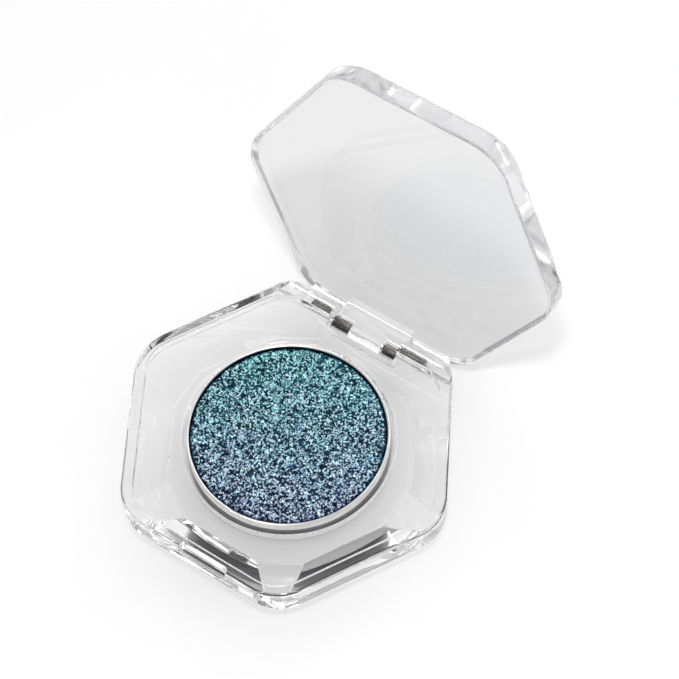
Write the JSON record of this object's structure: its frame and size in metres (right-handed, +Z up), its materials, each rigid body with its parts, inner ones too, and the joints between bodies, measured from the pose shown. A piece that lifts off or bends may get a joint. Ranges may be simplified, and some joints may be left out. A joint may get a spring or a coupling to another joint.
{
  "type": "eyeshadow compact",
  "caption": "Clear hexagonal gem-cut eyeshadow compact with a thick hinged lid on steel pins, holding a round metal pan of pressed glitter powder.",
  "frame": {"origin": "centre of the flat underside that the compact stands on", "axes": "+Z up; hinge at the back, +Y, with its axis along X; thumb notch at the front, -Y"},
  "size_m": [0.0454, 0.0538, 0.04],
  "materials": {
    "clear_plastic": "crystal-clear moulded styrene, polished",
    "clear_plastic_lid": "crystal-clear moulded styrene, polished",
    "pin_steel": "drawn steel wire, one half knurled",
    "pan_aluminium": "pressed bright aluminium",
    "adhesive": "hot-melt adhesive",
    "eyeshadow": "pressed duochrome glitter powder, teal to violet-navy"
  },
  "bodies": {
    "base": {"base_case": "clear_plastic", "hinge_pin_left": "pin_steel", "hinge_pin_right": "pin_steel", "eyeshadow_pan": "pan_aluminium", "pan_adhesive": "adhesive", "pressed_eyeshadow": "eyeshadow"},
    "lid": {"lid": "clear_plastic_lid"}
  },
  "joints": [
    {"name": "lid_hinge", "type": "hinge", "parent": "base", "child": "lid", "pos_m": [0, 0.01837, 0.00295], "axis": [1, 0, 0], "range_deg": [0, 102]}
  ]
}
